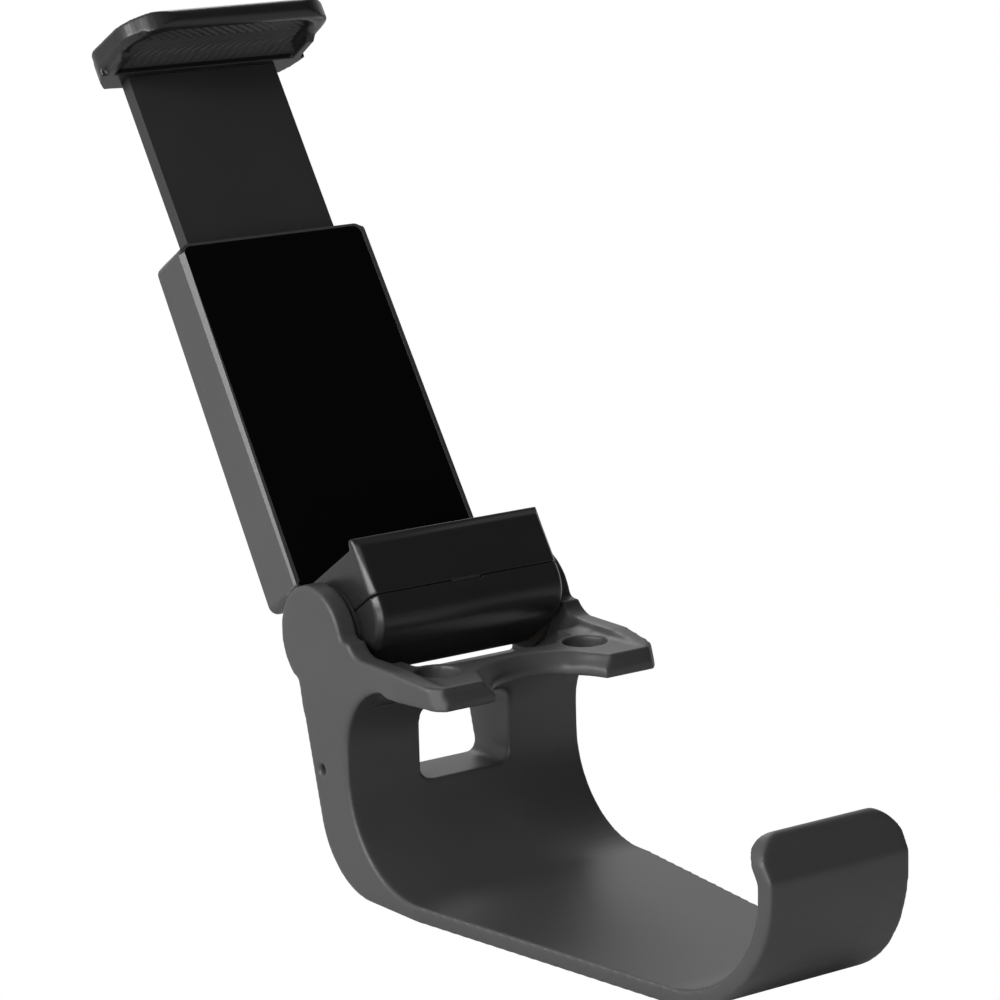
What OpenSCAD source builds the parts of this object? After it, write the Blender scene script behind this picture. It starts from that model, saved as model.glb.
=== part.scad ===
// Clamp that hooks round the middle of a game controller and holds a telephone above it.
// X runs along the hinge, -Y points to the player and +Z is up, square to the tray.
// The origin is on the tray's upper face, in the middle of its flat.

/* [Tray and wall] */
// Distance of the wall's foot behind the origin
seat_back = 41; // [38:0.5:46]
// Narrowing of the tray on each side, from the wall to the lip
tray_taper = 7.9; // [6:0.1:9]
// Thickness of the tray
tray_t = 2.6; // [2:0.1:3.2]
// Place of the wall's inner face
wall_y = 0.4; // [0:0.1:0.8]
// Inner radius of the bend from the tray to the wall
bend_r = 16; // [14:0.5:17]
// Rear face of the wall at its foot
wall_rear_foot_y = 8.4; // [7.8:0.1:9]
// Rear face of the wall at its top
wall_rear_top_y = 13.2; // [12.4:0.1:13.6]
// Outer radius of the heel under the wall
heel_r = 13; // [10:0.5:14]
// Height of the crossbar's top between the ears
crossbar_z = 27.0; // [26.6:0.1:27.1]
// Inner radius of the bend from the wall to the wings
crown_r = 10.8; // [9:0.2:11.4]
// Height of the blind hole in each side of the wall
side_hole_z = 15.2; // [13:0.2:18]

/* [Lip] */
// Place where the tray's flat ends and the lip starts
lip_start_y = -67.4; // [-74:0.2:-62]
// Inner radius of the lip's bend
lip_r = 16.8; // [15:0.2:18]
// Height of the crease under the lip's slanted top
crease_z = 18.6; // [18:0.2:20]
// Angle of the lip's slanted top from the tray
tip_angle = 60; // [54:1:70]
// Length of the lip's slanted top
tip_len = 5.8; // [5:0.2:7]
// Narrowing of the lip on each side, above the tray
lip_taper = 1.3; // [0.8:0.1:2]
// Corner radius of the lip's top
lip_corner_r = 5; // [3:0.5:6]

/* [Window] */
// Half width of the window in the wall
window_half_w = 8.1; // [7:0.1:9]
// Height of the window's lower edge
window_bottom_z = 12.6; // [11:0.2:14]
// Height of the window's upper edge
window_top_z = 24.4; // [23:0.2:24.6]
// Corner radius of the window
window_corner_r = 2; // [1:0.2:3]
// Diameter of the small blind hole in each side of the wall
side_hole_d = 1.6; // [1.2:0.1:2]

/* [Wings] */
// Upper face of the wings
wing_top_z = 33.0; // [32.6:0.1:33.6]
// Thickness of the wings
wing_t = 2.7; // [2.2:0.1:3]
// Front edge of the wings
wing_front_y = -22.1; // [-24:0.2:-21]
// Narrowing of the wings on each side, at their front edge
wing_taper = 1.6; // [1.2:0.1:2.2]
// Radius of the wings' front corners
wing_corner_r = 1; // [0.6:0.1:1.6]
// Height of the rim that runs from each ear along its wing
rim_h = 1.1; // [0.8:0.1:1.4]
// Radius of the notch between the wings
notch_r = 10.2; // [8.5:0.1:11]
// Place of the middle of the notch
notch_y = -24.6; // [-26:0.2:-24]
// Diameter of the hole in each wing
wing_hole_d = 6.6; // [5.6:0.1:6.8]
// Distance of each wing's hole from the middle
wing_hole_x = 13.3; // [12.6:0.1:14]
// Place of the wing's holes behind the front edge
wing_hole_back = 9.6; // [8.6:0.1:10.4]
// Front edge of the slot under the barrel
slot_front_y = -10.4; // [-11:0.1:-9.8]
// Distance of the slot's ends from the jaw's ends
slot_in = 2.9; // [2:0.1:4]
// Size of the chamfer on the wings' front edge
wing_chamfer = 1.9; // [1.4:0.1:2]

/* [Hinge] */
// Place of the hinge axis behind the tray's origin
hinge_y = 9.3; // [9:0.1:9.6]
// Height of the hinge axis
hinge_z = 34.8; // [34.4:0.1:35.2]
// Radius of the hollow blend in front of the ears
blend_r = 4.4; // [3.8:0.2:5]
// Angle at which the holder leans back
lean = 33; // [28:1:38]
// Outer radius of the ears
ear_r = 8.2; // [7.8:0.1:8.6]
// Thickness of each ear
ear_t = 3.4; // [3.4:0.1:3.8]
// Diameter of the hinge screw
axle_d = 4; // [3.6:0.1:4.4]
// Running clearance of the hinge screw, on the radius
axle_gap = 0.05; // [0.03:0.01:0.08]
// Thickness of each friction washer
friction_t = 0.9; // [0.8:0.1:1]
// Outer diameter of the friction washers
friction_d = 15; // [12:0.2:15.2]
// Gap left between the ears and the holder beside each washer
side_gap = 0.05; // [0.03:0.01:0.1]
// Depth of the hollow in the right ear for the screw's head
ear_pocket_t = 2.3; // [2.2:0.1:2.5]
// Diameter of the hollow in the right ear
ear_pocket_d = 9; // [8.6:0.1:10]
// Thickness of the hinge nut
nut_t = 2; // [1.6:0.1:2.2]
// Width of the hinge nut across its corners
nut_d = 7.6; // [7:0.1:8]
// Outer diameter of the hinge bushes
bush_d = 6; // [5.4:0.1:6.4]
// Length of each hinge bush
bush_len = 8; // [6:0.5:10]

/* [Holder] */
// Width of the housing
housing_w = 35; // [31:0.5:40]
// Narrowing of the housing on each side, from its foot to its top
housing_taper = 0.4; // [0:0.1:0.6]
// Extra depth of the housing at its foot
housing_wedge = 1.2; // [0.6:0.1:1.6]
// Thickness of the housing's side walls
side_wall_t = 3.05; // [2.95:0.05:3.4]
// Step between the housing's side and the lower jaw's end
jaw_in = 0.6; // [0.4:0.1:0.7]
// Front face of the housing behind the hinge axis
housing_front = 4.3; // [4:0.1:4.8]
// Depth of the housing
housing_t = 8.4; // [8.2:0.1:8.8]
// Height of the housing's top above the hinge axis
housing_top = 67.6; // [64:0.2:72]
// Height of the housing's lower end above the hinge axis
housing_bottom = 9.0; // [8.8:0.1:9.6]
// Corner radius of the housing's front view
housing_corner_r = 1.4; // [0.8:0.1:2]
// Thickness of the housing's front wall, with the soft pad
front_wall_t = 2.7; // [2.5:0.1:2.8]
// Thickness of the soft pad on the housing's front
front_pad_t = 0.6; // [0.4:0.1:0.7]
// Width of the rim round the soft pad
pad_rim = 0.4; // [0.3:0.1:0.6]
// Thickness of the rear cover
cover_t = 1.6; // [1.4:0.1:1.7]
// Height of the housing's end walls
end_wall_t = 1.5; // [1.2:0.1:2]

/* [Lower jaw] */
// Reach of the lower jaw in front of the hinge axis
jaw_reach = 13.5; // [13:0.1:14.5]
// Height of the lower jaw's floor above the hinge axis
jaw_floor = 8.9; // [8.6:0.1:9.2]
// Height of the lower jaw's front edge above its floor
jaw_lip = 1.3; // [1:0.1:2]
// Height of the seam between the jaw and the barrel above the hinge axis
seam_z = 0.9; // [0.6:0.1:1.4]
// Radius of the barrel's front round
barrel_r = 6; // [5.6:0.1:6.2]
// Radius of the knuckle round the hinge axis
knuckle_r = 6.6; // [6.2:0.1:6.8]
// Rear face of the neck under the housing
neck_rear = 10.4; // [10:0.1:10.8]
// Height of the open seam between the jaw and the barrel
seam_t = 0.15; // [0.1:0.05:0.2]
// Thickness of the lower jaw's pad
floor_pad_t = 1; // [0.8:0.1:1.2]
// Width of the jaw's snap tongue under the seam
tongue_w = 5.2; // [4:0.2:8]

/* [Arm] */
// Thickness of the arm
arm_t = 2.6; // [2.4:0.1:2.7]
// Gap between the arm's front face and the housing's front wall
arm_gap = 0.05; // [0.03:0.01:0.1]
// Height of the arm's shoulder, where the top jaw starts, above the hinge axis
arm_top = 98.3; // [94:0.5:104]
// Travel of the arm from fully out to fully in
arm_travel = 30; // [26:0.5:30]
// Gap between the arm's edges and the guide rails
rail_gap = 0.05; // [0.03:0.01:0.1]
// Thickness of the guide rails
rail_t = 0.85; // [0.7:0.05:0.9]
// Thickness of the brake shoe behind the arm
shoe_t = 0.8; // [0.6:0.1:0.9]
// Thickness of the leaf spring behind the brake shoe
leaf_t = 0.3; // [0.2:0.05:0.35]
// Height of the stop bar at the arm's foot
stop_h = 3.6; // [3:0.2:4.4]

/* [Top jaw] */
// Reach of the top jaw past the housing on each side
top_jaw_over = 1.4; // [0.8:0.1:2]
// Reach of the top jaw in front of the hinge axis
top_jaw_reach = 9.0; // [8:0.2:11]
// Radius of the bead along the top jaw's front edge
bead_r = 1.6; // [1.3:0.1:1.8]
// Height of the top jaw above the arm's shoulder
top_jaw_h = 4.9; // [4.6:0.1:5.4]
// Thickness of the top jaw's roof
roof_t = 1.9; // [1.6:0.1:2.2]
// Thickness of the top jaw's soft pad
top_pad_t = 1; // [0.8:0.1:1.2]
// Corner radius of the top jaw's front corners, seen from above
top_corner_r = 8; // [6:0.5:9]
// Corner radius of the top jaw's rear corners, seen from above
rear_corner_r = 6; // [3:0.5:7]
// Thickness of the top jaw's wall behind the arm
rear_wall_t = 1.3; // [1.1:0.1:1.6]

/* [Fasteners] */
// Diameter of the small screws' shanks
screw_d = 1.2; // [1:0.1:1.4]
// Diameter of the small screws' heads
screw_head_d = 2.1; // [1.9:0.1:2.2]
// Thickness of the small screws' heads
screw_head_t = 0.6; // [0.4:0.1:0.7]

/* [Hidden] */
fine = 64;
eps = 0.01;
big = 200;

jaw_w = housing_w - 2 * jaw_in;
arm_w = housing_w - 2 * (side_wall_t + rail_t + rail_gap);
top_jaw_w = housing_w + 2 * top_jaw_over;
ear_in_x = jaw_w / 2 + friction_t + side_gap;
ear_out_x = ear_in_x + ear_t;
wall_half_w = ear_out_x;
tray_end_half_w = wall_half_w - tray_taper;
lip_top_half_w = tray_end_half_w - lip_taper;
slot_half_w = jaw_w / 2 - slot_in;
side_hole_y = (wall_y + wall_rear_top_y) / 2 + 0.6;
wing_low_z = wing_top_z - wing_t;
wing_hole_y = wing_front_y + wing_hole_back;
crown_z = wing_low_z - crown_r;
lip_front_y = lip_start_y - lip_r - tray_t;
tip_r = tray_t / 2;
tip_y = lip_front_y + tip_len * cos(tip_angle) + tip_r * sin(tip_angle);
tip_z = crease_z + tip_len * sin(tip_angle) - tip_r * cos(tip_angle);
inner_crease_z = crease_z - tray_t * tan((90 - tip_angle) / 2);
heel_y = wall_rear_foot_y - heel_r;
heel_z = heel_r - tray_t;
housing_rear = housing_front + housing_t;
channel_front = housing_front + front_wall_t;
part_y = housing_rear - cover_t;
arm_front = channel_front + arm_gap;
arm_rear = arm_front + arm_t;
arm_low = housing_bottom + 3.4 + arm_travel;
rail_x = arm_w / 2 + rail_gap;
channel_half = rail_x + rail_t;
cover_screw_x = channel_half + (side_wall_t - housing_taper) / 2;
cover_screw_in = 6;
barrel_y = barrel_r - jaw_reach;
barrel_z = seam_z - 0.2 * barrel_r;
barrel_screw_x = jaw_w / 2 - bush_len;
barrel_screw_y = bush_d / 2 + 1.6;
barrel_screw_z = -0.4 * knuckle_r;
barrel_screw_len = knuckle_r - 0.2;
brake_z = housing_top - 8;
rib_in = 3;
stop_screw_x = arm_w / 2 - 5.5;
top_screw_x = arm_w / 2 - 4.5;
top_z = arm_top + top_jaw_h;
roof_z = top_z - roof_t;
jaw_rear = arm_rear + rear_wall_t;
jaw_wall_front = arm_front - 1.4;
tongue_h = 3;
tongue_t = 1.4;
tongue_y = arm_front + (arm_t - tongue_t) / 2;

// Points on an arc from angle a to angle b
function arc(cy, cz, r, a, b, n = 14) =
    [for (i = [0:n]) [cy + r * cos(a + (b - a) * i / n), cz + r * sin(a + (b - a) * i / n)]];

// A solid with the outline given in Y and Z, from x0 to x1
module along_x(x0, x1) {
    translate([x0, 0, 0]) rotate([90, 0, 90]) linear_extrude(height = x1 - x0) children();
}

// The same solid on both sides of the middle plane
module both_sides() {
    children();
    mirror([1, 0, 0]) children();
}

// A round bar along X
module bar_x(d, x0, x1) {
    translate([x0, 0, 0]) rotate([0, 90, 0]) cylinder(d = d, h = x1 - x0, $fn = fine);
}

// Places its children in the holder's own frame, with the hinge axis as the origin
module at_holder() {
    translate([0, hinge_y, hinge_z]) rotate([-lean, 0, 0]) children();
}

// A slab in the holder's frame that narrows upwards, with its corners rounded in front view
module front_slab(w, z0, z1, y0, y1, r) {
    translate([0, y1, 0]) rotate([90, 0, 0]) linear_extrude(height = y1 - y0) hull() for (s = [-1, 1]) {
        translate([s * (w / 2 - r), z0 + r]) circle(r, $fn = 24);
        translate([s * (w / 2 - r - housing_taper), z1 - r]) circle(r, $fn = 24);
    }
}

// Side outline of the tray, wall and lip
module cradle_outline() {
    polygon(concat(
        [[-crown_r, wing_low_z]],
        arc(wall_y - crown_r, crown_z, crown_r, 90, 0),
        arc(wall_y - bend_r, bend_r, bend_r, 0, -90),
        arc(lip_start_y, lip_r, lip_r, -90, -180),
        [[lip_front_y + tray_t, inner_crease_z]],
        arc(tip_y, tip_z, tip_r, tip_angle - 90, tip_angle + 90, 8),
        [[lip_front_y, crease_z]],
        arc(lip_start_y, lip_r, lip_r + tray_t, 180, 270),
        arc(heel_y, heel_z, heel_r, -90, -13),
        [[wall_rear_top_y, crossbar_z + 1], [wall_rear_top_y - 0.6, wing_top_z - 1],
         [hinge_y, wing_top_z], [-crown_r, wing_top_z]]));
}

// Plan outline that narrows the tray towards the lip
module cradle_plan() {
    r = 3;
    hull() {
        for (s = [-1, 1]) {
            translate([s * (wall_half_w - r), wall_rear_top_y]) circle(r, $fn = 32);
            translate([s * (wall_half_w - r), -bend_r]) circle(r, $fn = 32);
            translate([s * (tray_end_half_w - r), lip_start_y]) circle(r, $fn = 32);
            translate([s * (lip_top_half_w - r), lip_front_y]) circle(r, $fn = 32);
        }
    }
}

// Plan outline of the wings and ears, from the front corners to the given rear edge
module side_plan(rear_y) {
    hull() for (s = [-1, 1]) {
        translate([s * (wall_half_w - wing_taper - wing_corner_r), wing_front_y + wing_corner_r])
            circle(wing_corner_r, $fn = 32);
        translate([s * (wall_half_w - 1), wing_front_y + wing_hole_back]) circle(1, $fn = 32);
        translate([s * (wall_half_w - 1), rear_y]) circle(1, $fn = 32);
    }
}

// Side outline of one ear and of the rim that runs from it to the wing's front corner
module ear_outline() {
    polygon(concat(
        arc(hinge_y, hinge_z, ear_r, -52, 172, 20),
        arc(hinge_y - ear_r - blend_r - 1.2, wing_top_z + rim_h + blend_r, blend_r, -8, -80, 8),
        [[wing_front_y + wing_hole_back, wing_top_z + rim_h - 0.1], [wing_front_y + 2, wing_top_z + 0.1],
         [wing_front_y + 2, wing_low_z + 0.5], [-crown_r, wing_low_z]],
        arc(wall_y - crown_r, crown_z, crown_r, 90, 30, 6),
        [[wall_rear_top_y - 1, crossbar_z - 4], [wall_rear_top_y, crossbar_z + 1]]));
}

// The moulding that hooks round the controller: tray, wall, lip, wings and ears
module cradle() {
    color("#3a3a3a") difference() {
        union() {
            intersection() {
                along_x(-big, big) cradle_outline();
                translate([0, 0, -tray_t]) linear_extrude(height = big) cradle_plan();
            }
            translate([0, 0, wing_low_z]) linear_extrude(height = wing_t) side_plan(wall_y);
            intersection() {
                both_sides() along_x(ear_in_x, ear_out_x) ear_outline();
                linear_extrude(height = big) side_plan(big / 2);
            }
        }
        wing_front_chamfer();
        // Notch between the wings, with a sloped upper edge
        translate([0, notch_y, 0]) cylinder(r = notch_r, h = big, $fn = fine);
        translate([0, notch_y, wing_top_z - wing_chamfer])
            cylinder(r1 = notch_r, r2 = notch_r + 2 * wing_chamfer, h = 2 * wing_chamfer, $fn = fine);
        lip_corners();
        // Room for the barrel between the ears
        translate([-ear_in_x, slot_front_y + 6, crossbar_z]) cube([2 * ear_in_x, big, big]);
        translate([-slot_half_w, slot_front_y, crossbar_z]) cube([2 * slot_half_w, big, big]);
        window();
        both_sides() translate([wing_hole_x, wing_hole_y, wing_low_z - 1])
            cylinder(d = wing_hole_d, h = wing_t + 2, $fn = fine);
        both_sides() translate([wall_half_w + eps, side_hole_y, side_hole_z]) rotate([0, -90, 0])
            cylinder(d = side_hole_d, h = 2 * side_hole_d, $fn = fine);
        both_sides() wall_core();
        // Bore of the hinge, the nut's seat and the hollow for the screw's head
        translate([0, hinge_y, hinge_z]) {
            bar_x(axle_d + 2 * axle_gap, 0, big);
            bar_x(ear_pocket_d, ear_out_x - ear_pocket_t, big);
            translate([-ear_in_x - nut_t, 0, 0]) rotate([0, 90, 0])
                cylinder(d = nut_d + 0.1, h = nut_t + 1, $fn = 6);
        }
    }
}

// Cutter for the slope on the wings' front edge
module wing_front_chamfer() {
    low_z = wing_top_z - wing_chamfer;
    along_x(-big, big) polygon([[wing_front_y, low_z], [wing_front_y + 2 * wing_chamfer, low_z + 2 * wing_chamfer],
        [wing_front_y - 1, low_z + 2 * wing_chamfer], [wing_front_y - 1, low_z]]);
}

// Cutters for the rounded corners of the lip's top
module lip_corners() {
    high_z = tip_z + tip_r;
    x = lip_top_half_w + 0.5 - lip_corner_r;
    both_sides() translate([0, lip_front_y + lip_r, 0]) rotate([90, 0, 0])
        linear_extrude(height = 2 * lip_r) difference() {
            translate([x, high_z - lip_corner_r]) square(2 * lip_corner_r);
            translate([x, high_z - lip_corner_r]) circle(lip_corner_r, $fn = 48);
        }
}

// The window through the wall
module window() {
    translate([0, big - crown_r, 0]) rotate([90, 0, 0]) linear_extrude(height = big)
        hull() for (x = [-1, 1] * (window_half_w - window_corner_r),
                    z = [window_bottom_z + window_corner_r, window_top_z - window_corner_r])
            translate([x, z]) circle(window_corner_r, $fn = 24);
}

// A pocket that lightens the wall from behind, beside the window
module wall_core() {
    x0 = window_half_w + 1.8;
    x1 = wall_half_w - 3.6;
    translate([x0, wall_y + 2.6, window_bottom_z - 2]) cube([x1 - x0, big, window_top_z - window_bottom_z + 2]);
}

// The steel screw that the holder turns on, with its socket head in the right ear
module hinge_screw() {
    seat = ear_out_x - ear_pocket_t + 0.5;
    color("#8c8c8c") translate([0, hinge_y, hinge_z]) difference() {
        union() {
            bar_x(axle_d, -ear_in_x - nut_t, seat + 0.2);
            bar_x(7, seat, seat + 1.1);
        }
        translate([seat + 0.3, 0, 0]) rotate([0, 90, 0]) cylinder(d = 2.6, h = 3, $fn = 6);
    }
}

// The hexagonal nut let into the left ear
module hinge_nut() {
    color("#8c8c8c") translate([-ear_in_x - nut_t, hinge_y, hinge_z]) rotate([0, 90, 0]) difference() {
        cylinder(d = nut_d, h = nut_t, $fn = 6);
        translate([0, 0, -1]) cylinder(d = axle_d + 0.02, h = nut_t + 2, $fn = fine);
    }
}

// A flat ring round the hinge axis
module ring(d, bore, x0, x1) {
    translate([0, hinge_y, hinge_z]) difference() {
        bar_x(d, x0, x1);
        bar_x(bore, x0 - 1, x1 + 1);
    }
}

// Spring washers under the screw's head
module spring_washers() {
    seat = ear_out_x - ear_pocket_t;
    color("#a0a0a0") {
        ring(7.6, axle_d + 0.3, seat, seat + 0.24);
        ring(7.6, axle_d + 0.3, seat + 0.25, seat + 0.49);
    }
}

// Friction washers between the ears and the holder's knuckle
module friction_washers() {
    color("#2a2a2a") both_sides() ring(friction_d, axle_d + 0.3, ear_in_x - friction_t, ear_in_x);
}

// The cover over the screw's head in the right ear
module hinge_cap() {
    color("#3a3a3a") translate([0, hinge_y, hinge_z])
        bar_x(ear_pocket_d - 0.1, ear_out_x - 0.55, ear_out_x);
}

// Places of the four screws that hold the rear cover
module at_cover_screws() {
    for (x = [-1, 1] * cover_screw_x, z = [housing_bottom + cover_screw_in, housing_top - cover_screw_in])
        translate([x, 0, z]) rotate([-90, 0, 0]) children();
}

// The deep shell that the arm slides in
module housing() {
    color("#4d4d4d") at_holder() difference() {
        front_slab(housing_w, housing_bottom, housing_top, housing_front, part_y, housing_corner_r);
        front_slab(housing_w - 2 * pad_rim, housing_bottom + pad_rim, housing_top - pad_rim,
            housing_front - 1, housing_front + front_pad_t, housing_corner_r - pad_rim + 0.2);
        translate([-channel_half, channel_front, housing_bottom + end_wall_t])
            cube([2 * channel_half, big, housing_top - housing_bottom - 2 * end_wall_t]);
        translate([-rail_x, channel_front, housing_top - 5]) cube([2 * rail_x, big, big]);
        at_cover_screws() translate([0, 0, channel_front]) cylinder(d = screw_d, h = big, $fn = 24);
    }
}

// The flat cover on the housing's back, with the rib that the arm's stop bar meets
module rear_cover() {
    rib_z = arm_low + stop_h + 0.05;
    foot_y = housing_rear + housing_wedge;
    color("#404040") at_holder() difference() {
        union() {
            front_slab(housing_w, housing_bottom, housing_top, part_y, foot_y, housing_corner_r);
            translate([-arm_w / 2 + rib_in, arm_rear + 0.1, rib_z])
                cube([arm_w - 2 * rib_in, part_y - arm_rear - 0.1 + eps, 1.4]);
        }
        // Slope of the cover's outer face
        along_x(-big, big) polygon([[foot_y, housing_bottom], [foot_y + 1, housing_bottom],
            [foot_y + 1, housing_top + 1], [housing_rear, housing_top + 1], [housing_rear, housing_top]]);
        at_cover_screws() {
            cylinder(d = screw_d, h = big, $fn = 24);
            translate([0, 0, housing_rear - screw_head_t - 0.1]) cylinder(d = screw_head_d + 0.1, h = big, $fn = 24);
        }
    }
}

// The soft pad that the telephone's back rests on
module front_pad() {
    color("#050505") at_holder()
        front_slab(housing_w - 2 * pad_rim - 0.1, housing_bottom + pad_rim + 0.05,
            housing_top - pad_rim - 0.05, housing_front, housing_front + front_pad_t, housing_corner_r - pad_rim + 0.2);
}

// Side outline of the lower jaw, the barrel and the knuckle together
module jaw_outline() {
    polygon(concat(
        arc(neck_rear - 6, 6.2, 6, 0, -60, 6),
        arc(0, 0, knuckle_r, -20, -90, 8),
        arc(barrel_y, barrel_z, barrel_r, -90, -180, 12),
        [[-jaw_reach, jaw_floor + jaw_lip - 0.6], [-jaw_reach + 0.6, jaw_floor + jaw_lip],
         [-jaw_reach + 1.5, jaw_floor + jaw_lip], [-jaw_reach + 2, jaw_floor],
         [neck_rear, jaw_floor]]));
}

// The upper half of the jaw block, which the telephone's lower edge stands in
module lower_jaw() {
    low = seam_z + seam_t / 2;
    color("#262626") at_holder() difference() {
        union() {
            intersection() {
                along_x(-jaw_w / 2, jaw_w / 2) jaw_outline();
                translate([-big / 2, -big / 2, low]) cube(big);
            }
            // Snap tongue that shows under the seam
            translate([-tongue_w / 2, -jaw_reach + 0.25, low - 1]) cube([tongue_w, 1, 1 + eps]);
        }
        bar_x(axle_d + 1, -big, big);
        both_sides() bar_x(bush_d, jaw_w / 2 - bush_len, big);
        translate([-jaw_w / 2 + 1.4, -jaw_reach + 2.4, jaw_floor - floor_pad_t])
            cube([jaw_w - 2.8, housing_front - 0.4 + jaw_reach - 2.4, 2]);
        at_barrel_screws() cylinder(d = screw_d, h = barrel_screw_len + 0.5, $fn = 24);
    }
}

// The lower half of the jaw block, with the rounded barrel at its front
module hinge_barrel() {
    high = seam_z - seam_t / 2;
    color("#202020") at_holder() difference() {
        intersection() {
            along_x(-jaw_w / 2, jaw_w / 2) jaw_outline();
            translate([-big / 2, -big / 2, high - big]) cube(big);
        }
        translate([-tongue_w / 2 - 0.2, -jaw_reach - 1, high - 1.2]) cube([tongue_w + 0.4, 2.4, 3]);
        bar_x(axle_d + 1, -big, big);
        both_sides() bar_x(bush_d, jaw_w / 2 - bush_len, big);
        at_barrel_screws() cylinder(d = screw_d, h = barrel_screw_len, $fn = 24);
        at_barrel_screws() translate([0, 0, screw_head_t - big]) cylinder(d = screw_head_d + 0.1, h = big, $fn = 24);
    }
}

// Places of the two screws that close the jaw block, behind the hinge
module at_barrel_screws() {
    for (x = [-1, 1] * barrel_screw_x) translate([x, barrel_screw_y, barrel_screw_z]) children();
}

// The soft pad on the lower jaw's floor
module lower_jaw_pad() {
    color("#101010") at_holder() translate([-jaw_w / 2 + 1.45, -jaw_reach + 2.45, jaw_floor - floor_pad_t])
        cube([jaw_w - 2.9, housing_front - 0.5 + jaw_reach - 2.4, floor_pad_t]);
}

// One screw with its head at the origin and its shank along +Z
module small_screw(length) {
    difference() {
        union() {
            cylinder(d = screw_d - 0.02, h = length, $fn = 24);
            cylinder(d = screw_head_d, h = screw_head_t, $fn = 24);
        }
        for (a = [0, 90]) rotate(a) translate([-0.6, -0.12, -1]) cube([1.2, 0.24, 1.3]);
    }
}

// The screws that hold the rear cover
module cover_screws() {
    color("#303030") at_holder() at_cover_screws()
        translate([0, 0, housing_rear - 0.1]) mirror([0, 0, 1]) small_screw(4.6);
}

// The screws that close the jaw block from below
module barrel_screws() {
    color("#303030") at_holder() at_barrel_screws() small_screw(barrel_screw_len);
}

// Plain bushes that the hinge screw turns in
module hinge_bushes() {
    color("#b08d3c") at_holder() both_sides() difference() {
        bar_x(bush_d - 0.02, jaw_w / 2 - bush_len, jaw_w / 2);
        bar_x(axle_d + 2 * axle_gap, 0, big);
    }
}

// Strips that the arm's edges run on
module guide_rails() {
    color("#d8d4c8") at_holder() both_sides()
        translate([rail_x, channel_front, housing_bottom + end_wall_t])
            cube([rail_t, part_y - channel_front, housing_top - housing_bottom - end_wall_t - 5.05]);
}

// The arched leaf spring that presses the shoe against the arm
module brake_spring() {
    lift = part_y - arm_rear - shoe_t - leaf_t - 0.04;
    half = 7;
    color("#9a9a9a") at_holder() translate([-4, 0, brake_z])
        rotate([90, 0, 90]) linear_extrude(height = 8)
            polygon(concat(
                [for (t = [-1:0.125:1]) [part_y - 0.02 - lift * (1 + cos(180 * t)) / 2, half * t]],
                [for (t = [1:-0.125:-1]) [part_y - 0.02 - leaf_t - lift * (1 + cos(180 * t)) / 2, half * t]]));
}

// The shoe that rubs on the arm's back and holds it at any length
module brake_shoe() {
    color("#d8d4c8") at_holder() translate([-5, arm_rear + 0.02, brake_z - 3]) cube([10, shoe_t - 0.02, 6]);
}

// The flat arm, with a thinner tongue at its top for the jaw
module arm() {
    color("#303030") at_holder() difference() {
        union() {
            translate([-arm_w / 2, arm_front, arm_low]) cube([arm_w, arm_t, arm_top - arm_low]);
            translate([-arm_w / 2 + 1, tongue_y, arm_top - eps]) cube([arm_w - 2, tongue_t, tongue_h]);
        }
        at_stop_screws() cylinder(d = screw_d, h = big, $fn = 24);
        at_top_screws() cylinder(d = screw_d, h = big, $fn = 24);
    }
}

// Places of the screws in the stop bar
module at_stop_screws() {
    for (x = [-1, 1] * stop_screw_x) translate([x, arm_front + 0.6, arm_low + stop_h / 2]) rotate([-90, 0, 0]) children();
}

// Places of the screws that hold the top jaw, on its rear face
module at_top_screws() {
    for (x = [-1, 1] * top_screw_x) translate([x, tongue_y - 0.4, arm_top + 1.5]) rotate([-90, 0, 0]) children();
}

// The bar at the arm's foot that keeps it in the housing
module stop_bar() {
    color("#606060") at_holder() difference() {
        translate([-arm_w / 2 + 2, arm_rear, arm_low]) cube([arm_w - 4, 0.9, stop_h]);
        at_stop_screws() {
            cylinder(d = screw_d, h = big, $fn = 24);
            translate([0, 0, arm_rear - arm_front - 0.6 + 0.4]) cylinder(d = screw_head_d + 0.1, h = 2, $fn = 24);
        }
    }
}

// The screws through the stop bar
module stop_screws() {
    length = arm_rear - arm_front - 0.6 + 0.8;
    color("#8c8c8c") at_holder() at_stop_screws() difference() {
        union() {
            cylinder(d = screw_d - 0.02, h = length, $fn = 24);
            translate([0, 0, length - 0.4]) cylinder(d = screw_head_d, h = 0.4, $fn = 24);
        }
        translate([-0.6, -0.12, length - 0.2]) cube([1.2, 0.24, 1]);
    }
}

// Side outline of the top jaw's shell: rear wall, roof and front bead
module top_jaw_outline() {
    bead_y = -top_jaw_reach + bead_r;
    bead_z = arm_top + bead_r + 0.3;
    polygon(concat(
        [[jaw_wall_front, arm_top], [jaw_rear, arm_top]],
        arc(jaw_rear - 2.2, top_z - 2.2, 2.2, 0, 90, 6),
        arc(bead_y, bead_z, bead_r, 100, 330, 14),
        [[bead_y + bead_r + 0.5, roof_z], [jaw_wall_front, roof_z]]));
}

// Plan outline of the top jaw, with wide rounds at its front corners
module top_jaw_plan() {
    half = top_jaw_w / 2;
    hull() for (s = [-1, 1]) {
        translate([s * (half - top_corner_r), top_corner_r - top_jaw_reach]) circle(top_corner_r, $fn = 48);
        translate([s * (half - rear_corner_r), jaw_rear - rear_corner_r]) circle(rear_corner_r, $fn = 48);
    }
}

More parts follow.
